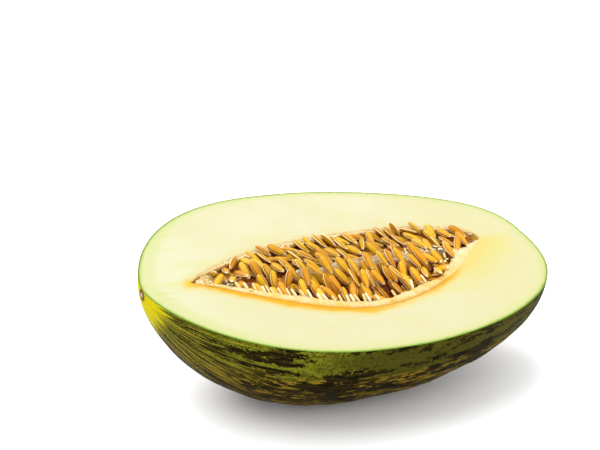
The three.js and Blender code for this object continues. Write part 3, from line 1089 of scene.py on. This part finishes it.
def pulp_paint():
    """Wet pulp: amber and brown, with painted shade that darkens it in its depths, and cream on the
    skin that stands along its ridge; its colours are painted lighter to offset the cavity's shade.
    """
    paint = Paint("melon_pulp")
    place = paint.place()
    x, y, height = paint.split(place)
    grain = paint.noise(place, 420, 4, 0.6)
    cloud = paint.noise(place, 90, 3, 0.55)
    crest = paint.kept("crest")
    mottle = paint.rise(grain * 0.5 + cloud * 0.5, 0.42, 0.64)
    # The pulp's colours are painted lighter to offset the cavity's shade.
    paint.base = paint.mix(colour("944008", PULP_LIGHT), colour("E08E1A", PULP_LIGHT), mottle)
    # Painted shade: the pulp is darkened to brown where it lies deep among the seeds.
    deep = paint.fall(height + (cloud - 0.5) * 0.006, -0.012, -0.005)
    paint.over("7C300A", deep * 0.7, PULP_LIGHT)
    paint.over("E0A440", paint.fall(y + height, -0.062, -0.05) * 0.7)
    cream = paint.rise(grain, 0.42, 0.6)
    # The pale skin on the ridge is painted lighter to offset the cavity's shade.
    pale = paint.mix(colour("F6E4A8", RIDGE_LIGHT), colour("FFFAE0", RIDGE_LIGHT), cream)
    paint.over(pale, paint.rise(crest + (grain - 0.5) * 0.2, 0.06, 0.26))
    shallow = paint.rise(height, -0.0035, -0.0012)
    paint.over("E4AE46", shallow * 0.9)
    plug = paint.fall(x + (cloud - 0.5) * 0.02, -0.082, -0.072)
    paint.over(paint.mix(colour("E0A52C"), colour("F0E0A0"), paint.rise(grain, 0.42, 0.58)), plug)
    normal = paint.bump(grain + cloud * 0.5, 0.0008, 0.6)
    rough = paint.rise(grain, 0.4, 0.7, 0.16, 0.36)
    return paint.finish(
        rough, normal, Subsurface_Weight=0.15, Subsurface_Scale=0.002,
        Subsurface_Radius=(1.0, 0.6, 0.25), Coat_Weight=0.25, Coat_Roughness=0.12,
    )


def seed_paint():
    """Golden tan seed coats, wet with juice. The pale rim is partly the coat's own edge and partly
    painted highlight, the pale pointed end is a painted glint, and seeds in the near bank are painted
    brighter to offset the cavity's shade.
    """
    paint = Paint("melon_seed")
    place = paint.place()
    _, y, _ = paint.split(place)
    tone, rim = paint.kept("tone"), paint.kept("rim")
    tip, across = paint.kept("tip"), paint.kept("across")
    grain = paint.noise(place, 700, 3, 0.6)
    cloud = paint.noise(place, 230, 2, 0.5)
    skin = paint.noise(paint.vector(tip * 1.1, across * 4.5, tone * 40), 1.6, 3, 0.6, 0.3)
    shade = paint.rise(tone * 0.4 + cloud * 0.35 + skin * 0.45, 0.3, 0.85)
    # Painted light: seeds on the near side (sunk) lie in the cavity's shade and are painted brighter
    # to offset it.
    sunk = paint.fall(y, -0.03, 0.005)
    paint.base = paint.mix(colour("E2920A"), colour("FFCC22"), shade)
    darker, paler = SUNK_SEED_LIGHTS
    paint.over(paint.mix(colour("EA9A10", darker), colour("FFC22C", paler), shade), sunk)
    paint.over("BE6E0A", paint.rise(skin, 0.56, 0.72) * 0.4)
    paint.over("C8780C", paint.rise(grain, 0.58, 0.8) * 0.3)
    seam = paint.rise(rim, 0.5, 0.78) * paint.fall(rim, 0.82, 0.93)
    paint.over("A8600A", seam * 0.75)
    # The pale rim: partly the coat's own pale edge, partly a painted highlight.
    paint.over("FFEDB4", paint.rise(rim, 0.87, 0.98) * 0.75, RIM_LIGHT)
    # A painted glint at the pointed end.
    point = paint.rise(tip + (grain - 0.5) * 0.4, 0.62, 0.95)
    paint.over("FFEFC0", point * 0.6, RIM_LIGHT)
    normal = paint.bump(grain * 0.6 + cloud, 0.0003, 0.4)
    rough = paint.rise(cloud, 0.35, 0.7, 0.18, 0.38)
    return paint.finish(
        rough, normal, Subsurface_Weight=0.1, Subsurface_Scale=0.0015,
        Subsurface_Radius=(1.0, 0.6, 0.25), Coat_Weight=0.06, Coat_Roughness=0.06,
        Specular_IOR_Level=0.16,
    )


def lip_paint():
    """The pulp's cut edge: cream, streaked with yellow, and wet."""
    paint = Paint("melon_pulp_lip")
    place = paint.place()
    grain = paint.noise(place, 380, 4, 0.62)
    cloud = paint.noise(place, 110, 3, 0.5)
    inward = paint.kept("inward")
    mottle = paint.rise(grain * 0.5 + cloud * 0.5, 0.4, 0.58)
    paint.base = paint.mix(colour("F0C850"), colour("F1DD9C"), mottle)
    paint.over("F3B414", paint.fall(inward + (cloud - 0.5) * 0.3, 0.02, 0.26) * 0.85)
    paint.over("D9821A", paint.rise(inward, 0.84, 0.97) * 0.8)
    normal = paint.bump(grain * 0.5 + cloud * 0.6, 0.0005, 0.4)
    rough = paint.rise(grain, 0.4, 0.7, 0.24, 0.44)
    return paint.finish(
        rough, normal, Subsurface_Weight=0.2, Subsurface_Scale=0.002,
        Subsurface_Radius=(1.0, 0.75, 0.35), Coat_Weight=0.2, Coat_Roughness=0.12,
    )


def blossom_lip_paint():
    """Flesh that reaches over the cavity: ivory with white fibres, amber where it is wet."""
    paint = Paint("melon_blossom_lip")
    place = paint.place()
    x, _, _ = paint.split(place)
    fibre = paint.noise(paint.stretch(place, (1.6, 0.7, 1)), 190, 4, 0.62, 0.8)
    cloud = paint.noise(place, 70, 3, 0.5)
    inward = paint.kept("inward")
    paint.base = paint.mix(colour("E8E0A2"), colour("F1EAC2"), paint.rise(fibre, 0.44, 0.6))
    paint.over("ECD868", paint.fall(inward + (cloud - 0.5), 0.3, 0.8) * 0.5)
    wet = paint.fall(x + (cloud - 0.5) * 0.03, 0.052, 0.07)
    paint.over("F2B01C", wet * paint.rise(cloud * 0.5 + fibre * 0.5, 0.38, 0.56) * 0.9)
    deep = paint.rise(inward + (fibre - 0.5) * 0.5, 0.72, 1.0)
    paint.over("E9A92C", deep * 0.7)
    normal = paint.bump(fibre + cloud * 0.5, 0.0008, 0.6)
    rough = paint.rise(fibre, 0.4, 0.7, 0.26, 0.44)
    return paint.finish(
        rough, normal, Subsurface_Weight=0.2, Subsurface_Scale=0.003,
        Subsurface_Radius=(1.0, 0.8, 0.4), Specular_IOR_Level=0.35,
    )


def far_lip_paint():
    """The ragged far edge of the pulp: amber and pale orange, with cream bits."""
    paint = Paint("melon_far_lip")
    place = paint.place()
    grain = paint.noise(place, 420, 4, 0.66)
    cloud = paint.noise(place, 150, 3, 0.5)
    inward = paint.kept("inward")
    mottle = paint.rise(grain * 0.6 + cloud * 0.4, 0.42, 0.6)
    paint.base = paint.mix(colour("F0D68C"), colour("F5ECC4"), mottle)
    paint.over("EBAA34", paint.rise(inward + (cloud - 0.5), 0.2, 0.9) * 0.6)
    normal = paint.bump(grain + cloud * 0.6, 0.0006, 0.6)
    rough = paint.rise(grain, 0.4, 0.7, 0.24, 0.44)
    return paint.finish(
        rough, normal, Subsurface_Weight=0.2, Subsurface_Scale=0.002,
        Subsurface_Radius=(1.0, 0.7, 0.3), Coat_Weight=0.15, Coat_Roughness=0.12,
    )


def stalk_paint():
    """White glossy seed stalks with a little amber at some."""
    paint = Paint("melon_seed_stalk")
    place = paint.place()
    grain = paint.noise(place, 500, 3, 0.6)
    amber = paint.rise(paint.kept("tone") * 0.6 + grain * 0.6, 0.4, 0.85)
    # The stalks are painted lighter to offset the cavity's shade.
    paint.base = paint.mix(colour("FFF3CC", STALK_LIGHT), colour("F6DA8C", STALK_LIGHT), amber)
    return paint.finish(
        paint.rise(grain, 0.4, 0.7, 0.12, 0.3), paint.bump(grain, 0.0003, 0.4),
        Subsurface_Weight=0.3, Subsurface_Scale=0.0015, Subsurface_Radius=(1.0, 0.8, 0.5),
        Coat_Weight=0.2, Coat_Roughness=0.08,
    )


# ---- Making the pieces, with their materials ----
def coat(obj, *materials):
    for material in materials:
        obj.data.materials.append(material)


def ride(obj, slot, *materials):
    coat(obj, *materials)
    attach(obj, "root")


fruit = make_fruit()
ride(fruit, "rind_and_flesh", rind_paint(), flesh_paint())
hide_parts("rind_and_flesh")

pulp = make_pulp()
ride(pulp, "pulp", pulp_paint())
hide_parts("pulp_bed")
ride(make_lip("near_lip", -1.0, NEAR_LIP, 1.3, 0.1), "pulp", lip_paint())
ride(make_lip("blossom_lip", -1.0, BLOSSOM_LIP, 0.1, 0.22), "pulp", blossom_lip_paint())
ride(make_lip("far_lip", 1.0, FAR_LIP, 0.5, 0.35), "pulp", far_lip_paint())
ride(make_stalks(), "pulp", stalk_paint())

seed_coat = seed_paint()
single_seeds, more_seeds = make_seeds()
for seed, node_name in single_seeds:
    ride(seed, "seeds", seed_coat)
    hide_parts(node_name)
for seeds in more_seeds:
    ride(seeds, "seeds", seed_coat)


# ---- Floor and light ----
FLOOR_SIZE, FLOOR_ROUGHNESS = 60, 0.75
FLOOR_COLOUR = (0.95, 0.95, 0.95, 1.0)
KEY_PLACE, KEY_STRENGTH, KEY_ANGLE = (-0.4, 0.45, 1.3), 1.45 * BRIGHTNESS, math.radians(70)
FRONT_PLACE, FRONT_POWER, FRONT_SIZE = (0.5, -1.3, 0.5), 3.5, 0.7
LAMPS_AIM = Vector((0, 0, 0.05))
SKY_COLOUR, SKY_STRENGTH = (1, 1, 1, 1), 0.77 * BRIGHTNESS


def add_floor():
    deselect()
    bpy.ops.mesh.primitive_plane_add(size=FLOOR_SIZE)
    floor = named("floor")
    coat(floor, Paint("pale_floor", FLOOR_COLOUR).finish(FLOOR_ROUGHNESS))


def add_sky():
    world = bpy.data.worlds.new("studio")
    bpy.context.scene.world = world
    world.use_nodes = True
    sky = world.node_tree.nodes["Background"].inputs
    sky["Color"].default_value = SKY_COLOUR
    sky["Strength"].default_value = SKY_STRENGTH


def add_lamp(kind, name, place, power, **settings):
    deselect()
    bpy.ops.object.light_add(type=kind, location=place)
    lamp = named(name)
    lamp.data.energy = power
    for setting, value in settings.items():
        setattr(lamp.data, setting, value)
    lamp.rotation_euler = (Vector(place) - LAMPS_AIM).to_track_quat("Z", "Y").to_euler()


add_floor()
add_sky()
add_lamp("SUN", "key_light", KEY_PLACE, KEY_STRENGTH, angle=KEY_ANGLE)
add_lamp("AREA", "front_light", FRONT_PLACE, FRONT_POWER, size=FRONT_SIZE)
bpy.context.scene.view_settings.view_transform = "Standard"
